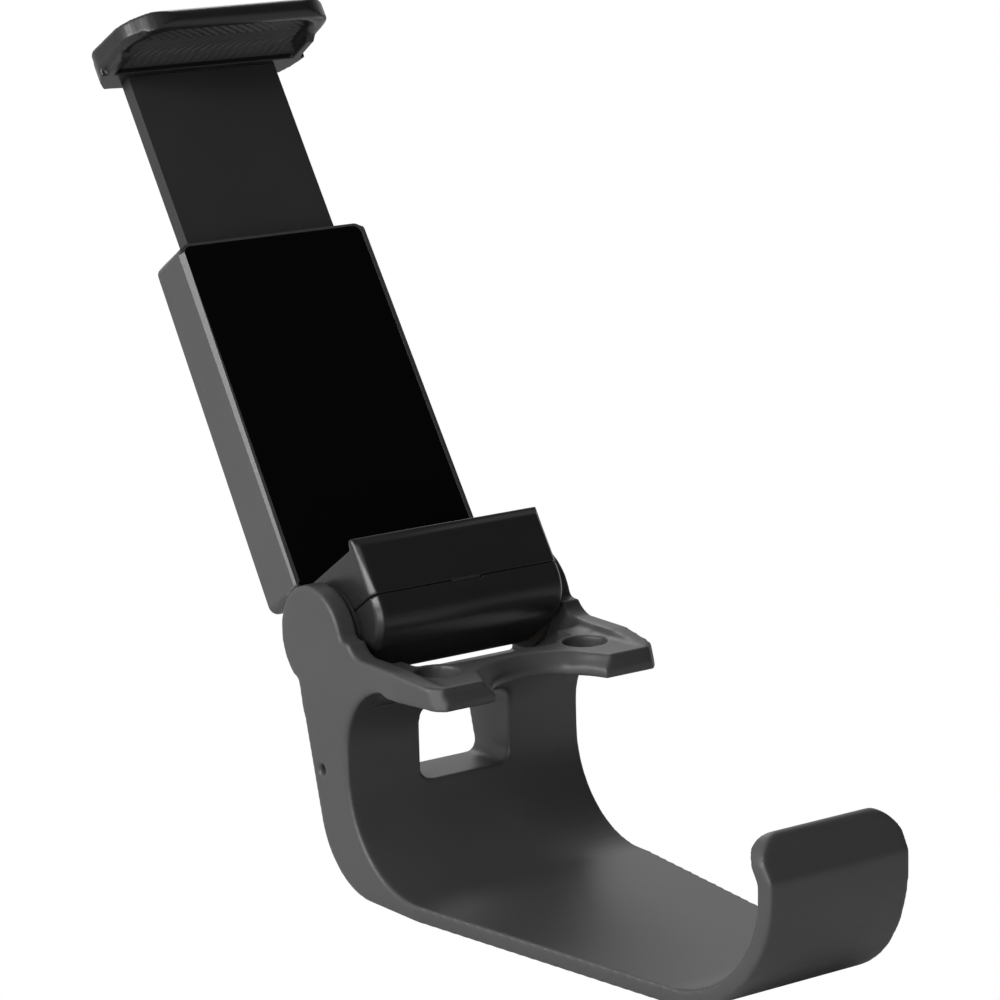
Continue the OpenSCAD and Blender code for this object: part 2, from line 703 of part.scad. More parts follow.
// The shell that hooks over the telephone's upper edge
module top_jaw() {
    color("#4a4a4a") at_holder() difference() {
        intersection() {
            union() {
                along_x(-big / 2, big / 2) top_jaw_outline();
                // Cheeks that close the shell's ends
                both_sides() along_x(top_jaw_w / 2 - 1.8, top_jaw_w / 2) polygon([
                    [-top_jaw_reach + bead_r, arm_top + 0.6], [jaw_wall_front + 1, roof_z - 0.3],
                    [jaw_wall_front + 1, roof_z + 0.5], [-top_jaw_reach + bead_r, roof_z + 0.5]]);
            }
            translate([0, 0, arm_top - 5]) linear_extrude(height = 20) top_jaw_plan();
        }
        translate([-arm_w / 2 + 0.95, tongue_y - 0.03, arm_top - 1]) cube([arm_w - 1.9, tongue_t + 0.06, tongue_h + 1.05]);
        at_top_screws() cylinder(d = screw_d, h = big, $fn = 24);
        at_top_screws() translate([0, 0, jaw_rear - tongue_y + 0.4 - screw_head_t])
            cylinder(d = screw_head_d + 0.1, h = big, $fn = 24);
    }
}

// The soft pad inside the top jaw
module top_jaw_pad() {
    front = -top_jaw_reach + 2 * bead_r + 1.2;
    wide = top_jaw_w - 4;
    color("#1c1c1c") at_holder() intersection() {
        along_x(-wide / 2, wide / 2) polygon(concat(
            [[front, roof_z], [front, roof_z - top_pad_t]],
            arc(jaw_wall_front - top_pad_t - 1.4, roof_z - top_pad_t - 1.4, 1.4, 90, 0, 6),
            [[jaw_wall_front - top_pad_t, arm_top + 0.3], [jaw_wall_front, arm_top + 0.3],
             [jaw_wall_front, roof_z]]));
        translate([0, 0, arm_top - 5]) linear_extrude(height = 20) offset(delta = -2) top_jaw_plan();
    }
}

// The screws that hold the top jaw on the arm
module top_jaw_screws() {
    color("#303030") at_holder() at_top_screws()
        translate([0, 0, jaw_rear - tongue_y + 0.4]) mirror([0, 0, 1]) small_screw(3);
}

translate([0, seat_back, 0]) {
    cradle();
    hinge_screw();
    hinge_nut();
    spring_washers();
    friction_washers();
    hinge_cap();
    housing();
    rear_cover();
    front_pad();
    lower_jaw();
    hinge_barrel();
    lower_jaw_pad();
    cover_screws();
    barrel_screws();
    hinge_bushes();
    guide_rails();
    brake_spring();
    brake_shoe();
    arm();
    stop_bar();
    stop_screws();
    top_jaw();
    top_jaw_pad();
    top_jaw_screws();
}
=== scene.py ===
"""A telephone clamp on a cradle that hooks round a game controller, in satin black plastic."""
import math

import bmesh
import bpy
from mathutils import Matrix, Vector


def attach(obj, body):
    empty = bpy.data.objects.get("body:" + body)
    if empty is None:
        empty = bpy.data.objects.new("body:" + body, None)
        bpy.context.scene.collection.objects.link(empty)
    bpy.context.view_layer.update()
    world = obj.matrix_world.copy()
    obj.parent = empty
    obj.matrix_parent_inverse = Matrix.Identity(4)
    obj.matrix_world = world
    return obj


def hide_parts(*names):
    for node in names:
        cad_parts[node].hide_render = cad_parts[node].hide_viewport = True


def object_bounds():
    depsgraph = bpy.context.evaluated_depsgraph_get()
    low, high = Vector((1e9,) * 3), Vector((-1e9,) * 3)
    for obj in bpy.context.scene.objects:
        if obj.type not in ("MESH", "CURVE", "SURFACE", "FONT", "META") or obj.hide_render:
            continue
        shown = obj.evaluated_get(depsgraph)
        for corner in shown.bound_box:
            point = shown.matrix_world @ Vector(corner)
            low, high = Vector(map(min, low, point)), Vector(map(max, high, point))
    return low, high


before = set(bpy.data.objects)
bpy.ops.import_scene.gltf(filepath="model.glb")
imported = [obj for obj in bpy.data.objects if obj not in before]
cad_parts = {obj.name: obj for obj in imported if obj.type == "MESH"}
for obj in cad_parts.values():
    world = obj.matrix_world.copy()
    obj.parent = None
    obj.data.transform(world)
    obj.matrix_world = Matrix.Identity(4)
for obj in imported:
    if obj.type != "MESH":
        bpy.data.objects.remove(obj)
CAD_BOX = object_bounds()

MM = 0.001

# The camera's place and aim in the object's frame, as in the photograph
CAMERA_PLACE_MM = (-319.36, -423.25, 176.06)
CAMERA_AZIMUTH = -35.14
CAMERA_ELEVATION = 12.2
CAMERA_ROLL = -1.54
CAMERA_LENS_MM = 139.85

# All lengths below are in millimetres. The hinge axis, and the clamp's lean in degrees
HINGE = (0.0, 50.3, 34.8)
LEAN = 33.0

# The top jaw, in the holder's frame: the arm's end below it, its outline, its bead and its soft pad
ARM_TOP = 98.3
JAW_HALF_W = 18.9
JAW_REACH = 9.0
JAW_CORNER_R = 8.0
BEAD_R = 1.6
# The bead clears the arm's end by this, rises by this round each corner, and ends in a straight run and a turn in
BEAD_CLEAR = 0.3
BEAD_RISE = 0.5
BEAD_RISE_RUN = 6
BEAD_END_RUN = (0, 6.8, -0.2)
BEAD_TURN_IN = (-1.3, 2.4, -0.3)
END_WALL_X = 16.4
END_WALL_T = 1.5
SKIRT_H = 3.6
# The end walls from the side, as (y, height over the arm's end), and the closed rear corners from above
END_WALL = ((-4.0, 3.0), (0.5, 0), (8.0, 0), (8.0, SKIRT_H), (-4.0, SKIRT_H))
REAR_CORNER = ((17.9, 7.8), (17.9, 8.5), (16.4, 10.6), (12, 10.9), (12, 7.8))
ROOF_Z = 101.3
PAD_FRONT = -4.6
PAD_WALL = 5.65
PAD_HALF_W = 16.9
PAD_T = 1.0
# The pad's turn down the rear wall, and its front corners: how far in from the end they start, and how deep
PAD_TURN_R = 2.6
PAD_CORNER_RUN = 7
PAD_CORNER_DEEP = 3.4
RIDGE_H = 0.34

# The housing, in the holder's frame: its half width tapers from its foot to its top
HOUSING_HALF_W = 17.5
HOUSING_TAPER = 0.4
HOUSING_FOOT_Z = 10.4
HOUSING_TOP_Z = 66.2
HOUSING_FRONT_Y = 4.3
RECESS_FLOOR_Y = 4.9
RECESS_SIDE_ZONE = 14
# How much wider the dressed rim beside the pad is, and the chamfer that it gives room for
RIM_WIDER = 0.4
HOUSING_CHAMFER = 0.75

# The lower jaw's block, in the holder's frame
BLOCK_HALF_W = 16.9
BLOCK_FRONT_Y = -13.5
SEAM_Z = 0.9
TONGUE_HALF_W = 5
TONGUE_REAR_Y = -11
TONGUE_LOW_Z = 0.45
BLOCK_CHAMFER = 0.9
# Edges nearer to the hinge axis than this belong to its bore
SCREW_ZONE_R = 5
# The rib inside the seam: half its length, front and rear, foot, and height
RIB = (15.5, -12.9, -12.2, 0.4, 1.0)

# The wings, in the object's frame, and their holes
WING_TOP_Z = 33.0
WING_LOW_Z = 30.3
# Points within this of a height are on it
NEAR = 0.05
WING_REAR_Y = 37
WING_FRONT_ZONE = 24
WING_SIDE_X = 19
HOLE_X = 13.3
HOLE_Y = 28.5
HOLE_R = 3.3
COLLAR_T = 1.1
# What the dressed wings have more than the CAD model's: depth, reach, and a steeper front edge
WING_DEEPER = 0.6
WING_FORWARD = 0.35
STEEPER = 1.0
# The slopes from the wings' flat tops up to their rims: front, rear, foot, outer side, and height
RIM_SLOPES = ((22.8, 25, 17.4, 19.4, 33.2), (25, 28.5, 17.0, 20.3, 33.6),
              (28.5, 32, 16.9, 20.7, 33.9), (32, 36, 15.6, 20.7, 34.0))
# What is cut away: the wings' outer tips from above, the horns from the side, and the crossbar's top from above
TIP_CUT = ((17.8, 17.5), (22.3, 17.5), (22.3, 22.0))
TIP_CUT_Z = 29
HORN_X = 17.5
HORN_CUT = ((39.2, 36.1), (42.0, 36.1), (42.0, 42.0), (39.2, 42.0))
CROSSBAR_Z = 26.1
CROSSBAR_CUT = ((-14, 30.9), (14, 30.9), (14, 37), (17.8, 37), (17.8, 60), (-17.8, 60), (-17.8, 37), (-14, 37))

FLOOR_DROP = 0.3
# The room is pale all round but dark in front on the right, above the camera's level
DARK_SIDE = (0.55, -0.6, 0.58)
ROOM_LIGHT = 0.75
ROOM_DARK = 0.02
# The lamps' places and sizes in metres, and their powers. The first stands where the housing's chamfer mirrors it
# to the camera, the second catches the jaw block's, and the third the edges from above
LAMP_AIM = (0.0, 0.03, 0.05)
LAMPS = (("left_lamp", (-0.82, 0.22, 0.3), 0.26, 3.0),
         ("low_left_lamp", (-0.62, -0.4, 0.08), 0.3, 1.7),
         ("edge_lamp", (-0.7, -0.2, 0.5), 0.24, 3.6),
         ("rear_lamp", (0.3, 0.75, 0.6), 0.4, 1.5))

# From the holder's own frame, with the hinge axis as its origin and +Z along the arm, to the object's
HOLDER = Matrix.Translation(Vector(HINGE)) @ Matrix.Rotation(math.radians(-LEAN), 4, "X")


def linear(hex_colour):
    """The linear colour of an sRGB hex value."""
    parts = [int(hex_colour[i:i + 2], 16) / 255 for i in (1, 3, 5)]
    return tuple(c / 12.92 if c <= 0.04045 else ((c + 0.055) / 1.055) ** 2.4 for c in parts) + (1.0,)


def add_node(tree, kind, settings=None, inputs=None):
    """Adds a node, sets its properties, and fills its inputs with values or with other nodes' outputs."""
    made = tree.nodes.new(kind)
    for name, value in (settings or {}).items():
        setattr(made, name, value)
    for name, value in (inputs or {}).items():
        socket = made.inputs[name]
        if isinstance(value, bpy.types.NodeSocket):
            tree.links.new(value, socket)
        else:
            socket.default_value = value
    return made


def moulded(name, shade, rough, specular=0.5, grain_mm=0.35, relief_mm=0.012, metallic=0.0, cloud=0.12):
    """A moulded or plated surface: an even colour with faint clouds, and a fine grain in relief and gloss."""
    material = bpy.data.materials.new(name)
    material.use_nodes = True
    tree = material.node_tree
    shader = tree.nodes["Principled BSDF"]
    place = add_node(tree, "ShaderNodeTexCoord").outputs["Object"]
    clouds = add_node(tree, "ShaderNodeTexNoise", inputs={"Vector": place, "Scale": 1 / (14 * MM), "Detail": 3.0})
    grain = add_node(tree, "ShaderNodeTexNoise",
                     inputs={"Vector": place, "Scale": 1 / (grain_mm * MM), "Detail": 2.0})
    full = linear(shade)
    dark = tuple(c * (1 - cloud) for c in full[:3]) + (1.0,)
    light = tuple(min(1.0, c * (1 + cloud)) for c in full[:3]) + (1.0,)
    tint = add_node(tree, "ShaderNodeMix", {"data_type": "RGBA"}, {"Factor": clouds.outputs["Fac"]})
    tint.inputs[6].default_value = dark
    tint.inputs[7].default_value = light
    tree.links.new(tint.outputs[2], shader.inputs["Base Color"])
    spread = add_node(tree, "ShaderNodeMapRange", inputs={"Value": grain.outputs["Fac"],
                      "To Min": rough - 0.05, "To Max": rough + 0.05})
    tree.links.new(spread.outputs["Result"], shader.inputs["Roughness"])
    bump = add_node(tree, "ShaderNodeBump", inputs={"Height": grain.outputs["Fac"],
                    "Strength": 0.5, "Distance": relief_mm * MM})
    tree.links.new(bump.outputs["Normal"], shader.inputs["Normal"])
    shader.inputs["Metallic"].default_value = metallic
    shader.inputs["Specular IOR Level"].default_value = specular
    material.diffuse_color = full
    return material


# Injection-moulded ABS with a satin finish: soft wide highlights and a grain just under what the eye resolves
CRADLE_ABS = moulded("satin_abs_cradle", "#3a3a3b", 0.45, 0.45)
# The same plastic from another mould, a little greyer
HOUSING_ABS = moulded("satin_abs_housing", "#3c3c3d", 0.36, 0.45)
# The jaws' ABS, slightly glossier, its colour darkened as painted shade for the shade on their front faces
JAW_ABS_WITH_PAINTED_SHADE = moulded("satin_abs_jaw_painted_shade", "#1f1f20", 0.3, 0.4)
# Spark-eroded ABS of the arm, flat and matt, its colour darkened as painted shade for the shade on its front face
ARM_ABS_WITH_PAINTED_SHADE = moulded("matt_abs_arm_painted_shade", "#2c2c2d", 0.5, 0.3)
# Matt black rubber sheet: almost no highlight
PAD_RUBBER = moulded("black_rubber_sheet", "#020202", 0.9, 0.05, grain_mm=0.5)
# Moulded rubber of the top jaw's ribbed pad, a shade lighter than the sheet
RIB_RUBBER = moulded("ribbed_rubber", "#343434", 0.5, 0.4, grain_mm=0.4)
# Zinc-plated steel, bright with a faint grain
ZINC_STEEL = moulded("zinc_plated_steel", "#b9bcc0", 0.32, metallic=1.0, cloud=0.05)
# Black oxide on steel screws
OXIDE_STEEL = moulded("black_oxide_steel", "#26262a", 0.4, metallic=1.0, cloud=0.08)
# Turned brass of the bushes
TURNED_BRASS = moulded("turned_brass", "#c9a34c", 0.3, metallic=1.0, cloud=0.05)
# Pressed friction fibre
FIBRE = moulded("friction_fibre", "#2e2b28", 0.8, 0.3, grain_mm=0.6)
# Natural acetal, waxy white
ACETAL = moulded("natural_acetal", "#dcd8cc", 0.42, 0.5, cloud=0.03)


def source_bmesh(node):
    """A merged copy of a CAD node's mesh, with its flat faces joined."""
    bm = bmesh.new()
    bm.from_mesh(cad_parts[node].data)
    bmesh.ops.remove_doubles(bm, verts=bm.verts, dist=0.002 * MM)
    bmesh.ops.dissolve_limit(bm, angle_limit=math.radians(0.6), verts=bm.verts, edges=bm.edges)
    return bm


def finished(bm, name, material, body, slot, *nodes, sharp=40):
    """Turns a bmesh into a piece with smooth faces and hard edges where it is sharp, riding on its body."""
    mesh = bpy.data.meshes.new(name)
    bm.to_mesh(mesh)
    bm.free()
    mesh.materials.append(material)
    piece = bpy.data.objects.new(name, mesh)
    bpy.context.scene.collection.objects.link(piece)
    mesh.polygons.foreach_set("use_smooth", [True] * len(mesh.polygons))
    mesh.set_sharp_from_angle(angle=math.radians(sharp))
    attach(piece, body)
    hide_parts(*nodes)
    return piece


def hard_edges(bm, crease=28):
    """The edges where two faces meet at a clear angle."""
    return [e for e in bm.edges if len(e.link_faces) == 2 and e.calc_face_angle(0) > math.radians(crease)]


def round_edges(bm, edges, size_mm, steps, clamped=True):
    """Rounds the given edges by a size in millimetres; a single step makes a flat chamfer."""
    bmesh.ops.bevel(bm, geom=edges, offset=size_mm * MM, offset_type="OFFSET", segments=steps,
                    profile=0.5, affect="EDGES", clamp_overlap=clamped, material=-1)


def outer_x(z):
    """The housing's half width at a height in the holder's frame, in millimetres."""
    return HOUSING_HALF_W - HOUSING_TAPER * (z - HOUSING_FOOT_Z) / (HOUSING_TOP_Z - HOUSING_FOOT_Z)


def wider_rim(bm):
    """Moves the sides of the pad and of its recess in, so that a chamfer has room on the rim beside them."""
    for v in bm.verts:
        place = HOLDER.inverted() @ (v.co / MM)
        in_recess = (RECESS_SIDE_ZONE < abs(place.x) < outer_x(place.z) - 0.2 and place.z > HOUSING_FOOT_Z - 0.1
                     and HOUSING_FRONT_Y - 0.1 < place.y < RECESS_FLOOR_Y + 0.1)
        if in_recess:
            place.x -= math.copysign(RIM_WIDER, place.x)
            v.co = HOLDER @ place * MM


def eased_edges(node, name, material, body, slot, ease_mm, wide_mm=0, is_wide=None, change=None):
    """The CAD node's shape with its mould edges rounded, which is what catches the light.

    change alters the copied shape first. Edges that is_wide picks, by their ends in the holder's frame in
    millimetres, then get a wide flat chamfer before the rest are rounded.
    """
    bm = source_bmesh(node)
    if change:
        change(bm)
    if is_wide:
        round_edges(bm, [e for e in hard_edges(bm) if is_wide(*in_holder(e))], wide_mm, 1, clamped=False)
    round_edges(bm, hard_edges(bm), ease_mm, 3)
    bmesh.ops.remove_doubles(bm, verts=bm.verts, dist=0.001 * MM)
    piece = finished(bm, name, material, body, slot, node)
    # The broad faces stay flat to the eye, and only the rounded edges turn the light
    even = piece.modifiers.new("flat_faces", "WEIGHTED_NORMAL")
    even.keep_sharp = True
    return piece


def in_holder(edge):
    """The ends of an edge in the holder's frame, in millimetres."""
    return [HOLDER.inverted() @ (v.co / MM) for v in edge.verts]


def prism(bm, outline, run, place=Matrix()):
    """Adds a solid: an outline of a few points, in millimetres, run along a vector and set in its place."""
    made = [bm.verts.new(point) for point in outline]
    end = bmesh.ops.extrude_face_region(bm, geom=[bm.faces.new(made)])["geom"]
    far = [v for v in end if isinstance(v, bmesh.types.BMVert)]
    bmesh.ops.translate(bm, verts=far, vec=run)
    bmesh.ops.transform(bm, matrix=Matrix.Scale(MM, 4) @ place, verts=made + far)


def join_part(bm, part):
    """Joins a finished bmesh to another one."""
    mesh = bpy.data.meshes.new("part")
    part.to_mesh(mesh)
    part.free()
    bm.from_mesh(mesh)
    bpy.data.meshes.remove(mesh)


def fuller_wings(bm):
    """Gives the wings their full depth and steep front edge, and adds their rims' slopes and their holes' collars."""
    for v in bm.verts:
        x, y, z = v.co / MM
        if y < WING_REAR_Y and abs(z - WING_LOW_Z) < NEAR:
            v.co.z -= WING_DEEPER * MM
        if y < WING_FRONT_ZONE and z > TIP_CUT_Z:
            v.co.y -= WING_FORWARD * MM
            v.co.x += math.copysign(WING_FORWARD * MM, x) if abs(x) > WING_SIDE_X else 0
            if abs(z - WING_TOP_Z) < NEAR:
                v.co.y -= STEEPER * MM
    low = WING_TOP_Z - 0.6
    for s in (-1, 1):
        for front, rear, foot, side, high in RIM_SLOPES:
            prism(bm, [(s * foot, front, low), (s * side, front, low), (s * side, front, high),
                       (s * foot, front, WING_TOP_Z)], (0, rear - front, 0))
        collar(bm, s * HOLE_X)


def collar(bm, x):
    """Adds the round web that closes a wing's hole towards the barrel."""
    section = [(HOLE_R, WING_LOW_Z - WING_DEEPER), (HOLE_R + COLLAR_T, WING_LOW_Z - WING_DEEPER),
               (HOLE_R + COLLAR_T, WING_TOP_Z), (HOLE_R, WING_TOP_Z)]
    made = [bm.verts.new(Vector((x + r, HOLE_Y, z)) * MM) for r, z in section]
    edges = [bm.edges.new((a, b)) for a, b in zip(made, made[1:] + made[:1])]
    bmesh.ops.spin(bm, geom=made + edges, cent=Vector((x, HOLE_Y, 0)) * MM, axis=(0, 0, 1),
                   angle=math.tau, steps=48, use_merge=True)


def cradle_cuts(bm):
    """What is cut from the cradle: the wings' outer tips, the horns between ears and rims, the crossbar's top."""
    for s in (-1, 1):
        # The tip's cut leans back as it rises
        prism(bm, [(s * x, y, TIP_CUT_Z) for x, y in TIP_CUT], (-s, 1, 6))
        prism(bm, [(s * HORN_X, y, z) for y, z in HORN_CUT], (s * 5.0, 0, 0))
    prism(bm, [(x, y, CROSSBAR_Z) for x, y in CROSSBAR_CUT], (0, 0, 3.0))


def top_jaw_edge(bm):
    """Adds the bead along the top jaw's front edge and round both corners, and the ends' closed rear corners."""
    part = bmesh.new()
    middle_y = BEAD_R - JAW_REACH
    corner_x = JAW_HALF_W - JAW_CORNER_R
    upright = Matrix.Rotation(math.pi / 2, 4, "Y")
    place = Matrix.Translation((0, middle_y, ARM_TOP + BEAD_R + BEAD_CLEAR)) @ upright
    made = bmesh.ops.create_circle(part, segments=20, radius=BEAD_R, matrix=place)["verts"]
    edges = list({e for v in made for e in v.link_edges})

    def drawn_on(edges, vec):
        """Draws the ring on along a vector."""
        made = bmesh.ops.extrude_edge_only(part, edges=edges)["geom"]
        bmesh.ops.translate(part, verts=[g for g in made if isinstance(g, bmesh.types.BMVert)], vec=vec)
        return [g for g in made if isinstance(g, bmesh.types.BMEdge)]

    edges = drawn_on(edges, (corner_x, 0, 0))
    made = bmesh.ops.spin(part, geom=edges + list({v for e in edges for v in e.verts}),
                          cent=(corner_x, JAW_CORNER_R - JAW_REACH, 0), axis=(0, 0, 1),
                          angle=math.pi / 2, steps=12)["geom_last"]
    edges = drawn_on([g for g in made if isinstance(g, bmesh.types.BMEdge)], BEAD_END_RUN)
    # Each end sinks into the closed corner
    edges = drawn_on(edges, BEAD_TURN_IN)
    bmesh.ops.holes_fill(part, edges=edges)
    # The bead rises a little round the corners
    for v in part.verts:
        v.co.z += BEAD_RISE * min(1, max(0, (v.co.y + BEAD_RISE_RUN) / BEAD_RISE_RUN))
    bmesh.ops.mirror(part, geom=part.verts[:] + part.edges[:] + part.faces[:], axis="X", merge_dist=0.001)
    bmesh.ops.transform(part, matrix=Matrix.Scale(MM, 4) @ HOLDER, verts=part.verts)
    bmesh.ops.recalc_face_normals(part, faces=part.faces)
    join_part(bm, part)
    for s in (-1, 1):
        prism(bm, [(s * x, y, ARM_TOP) for x, y in REAR_CORNER], (0, 0, SKIRT_H), HOLDER)
        prism(bm, [(s * END_WALL_X, y, ARM_TOP + z) for y, z in END_WALL], (s * END_WALL_T, 0, 0), HOLDER)


def ribbed_grip():
    """The top jaw's soft pad: a hollow that turns down the rear wall, with fine ridges set in a herringbone."""
    bm = bmesh.new()
    bmesh.ops.create_grid(bm, x_segments=230, y_segments=90, size=0.5)
    turn = PAD_TURN_R
    flat = PAD_WALL - PAD_T - turn - PAD_FRONT
    arc = turn * math.pi / 2
    length = flat + arc + ROOF_Z - PAD_T - turn - (ARM_TOP + 0.3)
    for vert in bm.verts:
        x = 2 * PAD_HALF_W * vert.co.x
        # The pad's front corners are cut back in a curve
        near_end = min(0.999, max(0, (abs(x) - PAD_HALF_W + PAD_CORNER_RUN) / PAD_CORNER_RUN))
        start = PAD_CORNER_DEEP * (1 - math.sqrt(1 - near_end ** 2))
        d = start + (length - start) * (vert.co.y + 0.5)
        # How far the path has turned from the roof to the rear wall, and what it has run past the turn
        angle = min(max(0, (d - flat) / turn), math.pi / 2)
        past = max(0, d - flat - arc)
        y = PAD_FRONT + min(d, flat) + turn * math.sin(angle)
        z = ROOF_Z - PAD_T - turn * (1 - math.cos(angle)) - past
        ridge = abs(((x * 0.8 + abs(d - 0.42 * length) * 1.1) / 1.25 % 1.0) * 2 - 1)
        edge = min(1, (PAD_HALF_W - abs(x)) / 0.8, (d - start) / 0.6, (length - d) / 1.6)
        lift = RIDGE_H * (ridge - 1) * max(0, edge)
        vert.co = Vector((x, y - math.sin(angle) * lift, z - math.cos(angle) * lift))
    bmesh.ops.solidify(bm, geom=bm.faces[:], thickness=-PAD_T)
    bmesh.ops.transform(bm, matrix=Matrix.Scale(MM, 4) @ HOLDER, verts=bm.verts)
    bmesh.ops.recalc_face_normals(bm, faces=bm.faces)
    return finished(bm, "top_jaw_grip", RIB_RUBBER, "arm_body", "pad_rubber", "top_jaw_pad", sharp=70)


def linked(name, bm):
    """An object in the scene with the bmesh's shape."""
    mesh = bpy.data.meshes.new(name)
    bmesh.ops.recalc_face_normals(bm, faces=bm.faces)
    bm.to_mesh(mesh)
    bm.free()
    made = bpy.data.objects.new(name, mesh)
    bpy.context.scene.collection.objects.link(made)
    return made


def flowing_shell(node, name, material, body, slot, voxel_mm, passes, add=None, cut=None, kept=1.0):
    """The CAD node's shape with its corners flowing into each other, as a thick moulding has them.

    add joins more to the shape first, cut gives what is taken from the joined shape, and kept is the share
    of the even grid's faces that stays once the shape is smooth.
    """
    bm = source_bmesh(node)
    if add:
        add(bm)
    work = linked(name + "_work", bm)
    helpers = [work]

    def even_grid():
        """Adds the modifier that turns overlapping solids into one even grid."""
        remesh = work.modifiers.new("even_grid", "REMESH")
        remesh.mode = "VOXEL"
        remesh.voxel_size = voxel_mm * MM

    even_grid()
    if cut:
        bm = bmesh.new()
        cut(bm)
        helpers.append(linked(name + "_cutter", bm))
        taken = work.modifiers.new("cuts", "BOOLEAN")
        taken.operation = "DIFFERENCE"
        taken.solver = "MANIFOLD"
        taken.object = helpers[-1]
        even_grid()
    smooth = work.modifiers.new("flow", "SMOOTH")
    smooth.factor = 0.5
    smooth.iterations = passes
    if kept < 1:
        work.modifiers.new("fewer_faces", "DECIMATE").ratio = kept
    seen = work.evaluated_get(bpy.context.evaluated_depsgraph_get())
    flowed = bpy.data.meshes.new_from_object(seen)
    bm = bmesh.new()
    bm.from_mesh(flowed)
    for helper in helpers:
        bpy.data.objects.remove(helper)
    return finished(bm, name, material, body, slot, node, sharp=180)


def make_camera():
    """The camera at the photograph's viewing angle."""
    a, e, r = (math.radians(v) for v in (CAMERA_AZIMUTH, CAMERA_ELEVATION, CAMERA_ROLL))
    back = Vector((math.sin(a) * math.cos(e), -math.cos(a) * math.cos(e), math.sin(e)))
    level = Vector((math.cos(a), math.sin(a), 0))
    upward = back.cross(level)
    right = math.cos(r) * level + math.sin(r) * upward
    up = math.cos(r) * upward - math.sin(r) * level
    data = bpy.data.cameras.new("camera")
    data.sensor_width = 36
    data.lens = CAMERA_LENS_MM
    data.clip_start = 0.01
    camera = bpy.data.objects.new("camera", data)
    turn = Matrix((right, up, back)).transposed().to_4x4()
    camera.matrix_world = Matrix.Translation(Vector(CAMERA_PLACE_MM) * MM) @ turn
    bpy.context.scene.collection.objects.link(camera)
    bpy.context.scene.camera = camera


def soft_box(name, place, aim, size, power):
    """A square studio lamp at a place in metres, turned to its aim."""
    data = bpy.data.lights.new(name, "AREA")
    data.size = size
    data.energy = power
    lamp = bpy.data.objects.new(name, data)
    lamp.location = place
    lamp.rotation_euler = (Vector(aim) - Vector(place)).to_track_quat("-Z", "Y").to_euler()
    bpy.context.scene.collection.objects.link(lamp)


def split_by_camera(tree, seen, lights, output):
    """Gives the output one shader that the camera sees and one that lights the object."""
    path = add_node(tree, "ShaderNodeLightPath")
    mix = add_node(tree, "ShaderNodeMixShader")
    tree.links.new(path.outputs["Is Camera Ray"], mix.inputs[0])
    tree.links.new(lights.outputs[0], mix.inputs[1])
    tree.links.new(seen.outputs[0], mix.inputs[2])
    tree.links.new(mix.outputs[0], add_node(tree, output).inputs["Surface"])


def make_light():
    """A white room whose light falls off towards its dark side, with three lamps on the left and one behind."""
    world = bpy.data.worlds.new("white_room")
    bpy.context.scene.world = world
    world.use_nodes = True
    tree = world.node_tree
    tree.nodes.clear()
    heading = add_node(tree, "ShaderNodeVectorMath", {"operation": "DOT_PRODUCT"})
    tree.links.new(add_node(tree, "ShaderNodeTexCoord").outputs["Generated"], heading.inputs[0])
    heading.inputs[1].default_value = DARK_SIDE
    level = add_node(tree, "ShaderNodeMapRange", {"interpolation_type": "SMOOTHSTEP"},
                     {"Value": heading.outputs["Value"], "From Min": 0.1, "From Max": 0.9,
                      "To Min": ROOM_LIGHT, "To Max": ROOM_DARK})
    dim = add_node(tree, "ShaderNodeBackground", inputs={"Color": (1, 1, 1, 1), "Strength": level.outputs[0]})
    white = add_node(tree, "ShaderNodeBackground", inputs={"Color": (1, 1, 1, 1), "Strength": 1.0})
    split_by_camera(tree, white, dim, "ShaderNodeOutputWorld")
    for name, place, size, power in LAMPS:
        soft_box(name, place, LAMP_AIM, size, power)


def make_floor():
    """A plain pale floor that the tray stands on."""
    bm = bmesh.new()
    low = CAD_BOX[0][2] - FLOOR_DROP * MM
    bmesh.ops.create_grid(bm, x_segments=1, y_segments=1, size=6.0, matrix=Matrix.Translation((0, 0, low)))
    mesh = bpy.data.meshes.new("floor")
    bm.to_mesh(mesh)
    bm.free()
    material = bpy.data.materials.new("white_floor")
    material.use_nodes = True
    tree = material.node_tree
    tree.nodes.clear()
    paint = add_node(tree, "ShaderNodeBsdfDiffuse", inputs={"Color": (0.7, 0.7, 0.7, 1)})
    glow = add_node(tree, "ShaderNodeEmission", inputs={"Color": (1, 1, 1, 1), "Strength": 1.0})
    split_by_camera(tree, glow, paint, "ShaderNodeOutputMaterial")
    mesh.materials.append(material)
    floor = bpy.data.objects.new("floor", mesh)
    bpy.context.scene.collection.objects.link(floor)


NODE_FINISH = {
    "hinge_screw": ZINC_STEEL, "hinge_nut": ZINC_STEEL, "spring_washers": ZINC_STEEL,
    "friction_washers": FIBRE, "cover_screws": OXIDE_STEEL, "barrel_screws": OXIDE_STEEL,
    "hinge_bushes": TURNED_BRASS, "guide_rails": ACETAL, "brake_spring": ZINC_STEEL,
    "brake_shoe": ACETAL, "stop_bar": ZINC_STEEL, "stop_screws": ZINC_STEEL,
    "top_jaw_screws": OXIDE_STEEL, "hinge_cap": CRADLE_ABS,
}


def finish_nodes():
    """Gives each CAD node that stays its material."""
    for name, material in NODE_FINISH.items():
        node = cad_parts[name]
        node.data.materials.clear()
        node.data.materials.append(material)


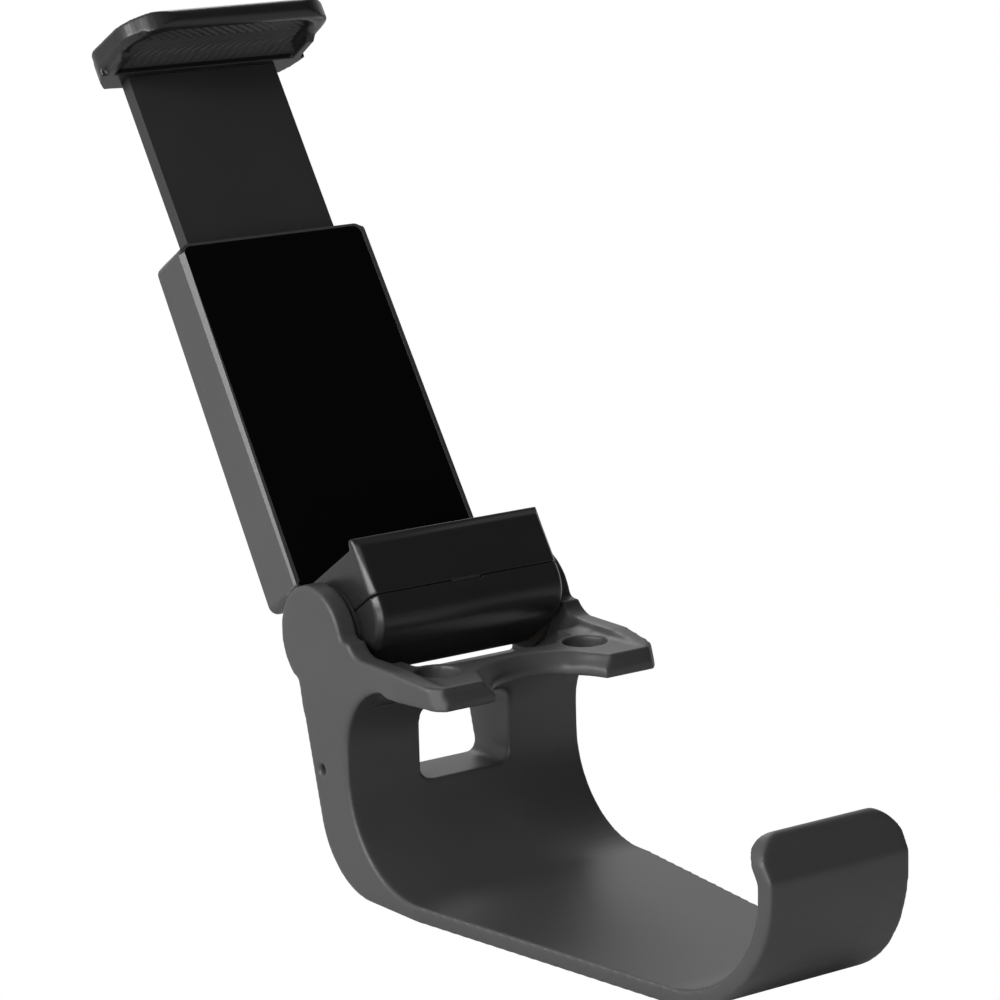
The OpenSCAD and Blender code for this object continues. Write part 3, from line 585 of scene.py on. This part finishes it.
def make_pieces():
    """The pieces that show, each over its CAD node."""
    def side_edges(a, b):
        """Edges that run up the housing's sides at its front."""
        return (all(abs(p.x) > outer_x(p.z) - 0.15 and p.y < HOUSING_FRONT_Y + 0.1 for p in (a, b))
                and abs(a.z - b.z) > 5)

    def end_edges(a, b):
        """The edges of the jaw block's ends on its front and round its barrel, apart from the seam."""
        ends = (a, b)
        on_sides = all(abs(p.x) > BLOCK_HALF_W - 0.1 for p in ends)
        on_seam = all(abs(p.z - SEAM_Z) < 0.2 for p in ends)
        outside = all(math.hypot(p.y, p.z) > SCREW_ZONE_R and (p.y < BLOCK_FRONT_Y + 0.2 or p.z < SEAM_Z)
                      for p in ends)
        return on_sides and outside and not on_seam

    def chamfered_ends(bm):
        """Chamfers the jaw block's end edges, and makes the snap tongue under its seam as shallow as it looks."""
        for v in bm.verts:
            place = HOLDER.inverted() @ (v.co / MM)
            on_tongue_foot = place.y < TONGUE_REAR_Y and -0.4 < place.z < 0.1
            if abs(place.x) < TONGUE_HALF_W and on_tongue_foot:
                v.co = HOLDER @ Vector((place.x, place.y, TONGUE_LOW_Z)) * MM
        round_edges(bm, [e for e in hard_edges(bm) if end_edges(*in_holder(e))], BLOCK_CHAMFER, 1, clamped=False)
        # A rib inside keeps daylight out of the seam
        half, front, rear, foot, high = RIB
        prism(bm, [(-half, front, foot), (half, front, foot), (half, rear, foot), (-half, rear, foot)],
              (0, 0, high), HOLDER)

    flowing_shell("cradle", "cradle_moulding", CRADLE_ABS, "cradle_body", "cradle_abs", voxel_mm=0.3, passes=12,
                  add=fuller_wings, cut=cradle_cuts, kept=0.4)
    eased_edges("housing", "housing_shell", HOUSING_ABS, "holder_body", "housing_abs", ease_mm=0.15,
                wide_mm=HOUSING_CHAMFER, is_wide=side_edges, change=wider_rim)
    eased_edges("rear_cover", "rear_cover_plate", HOUSING_ABS, "holder_body", "housing_abs", ease_mm=0.3)
    eased_edges("front_pad", "front_pad_sheet", PAD_RUBBER, "holder_body", "pad_rubber", ease_mm=0.1,
                change=wider_rim)
    flowing_shell("lower_jaw", "lower_jaw_block", JAW_ABS_WITH_PAINTED_SHADE, "holder_body", "jaw_abs", voxel_mm=0.2, passes=6,
                  add=chamfered_ends)
    flowing_shell("hinge_barrel", "barrel_block", JAW_ABS_WITH_PAINTED_SHADE, "holder_body", "jaw_abs", voxel_mm=0.2, passes=6,
                  add=chamfered_ends)
    eased_edges("lower_jaw_pad", "lower_jaw_sheet", PAD_RUBBER, "holder_body", "pad_rubber", ease_mm=0.2)
    eased_edges("arm", "arm_plate", ARM_ABS_WITH_PAINTED_SHADE, "arm_body", "arm_abs", ease_mm=0.25)
    flowing_shell("top_jaw", "top_jaw_shell", JAW_ABS_WITH_PAINTED_SHADE, "arm_body", "jaw_abs", voxel_mm=0.22, passes=4,
                  add=top_jaw_edge)
    ribbed_grip()


make_camera()
make_light()
make_floor()
finish_nodes()
make_pieces()
bpy.context.scene.view_settings.view_transform = "Standard"
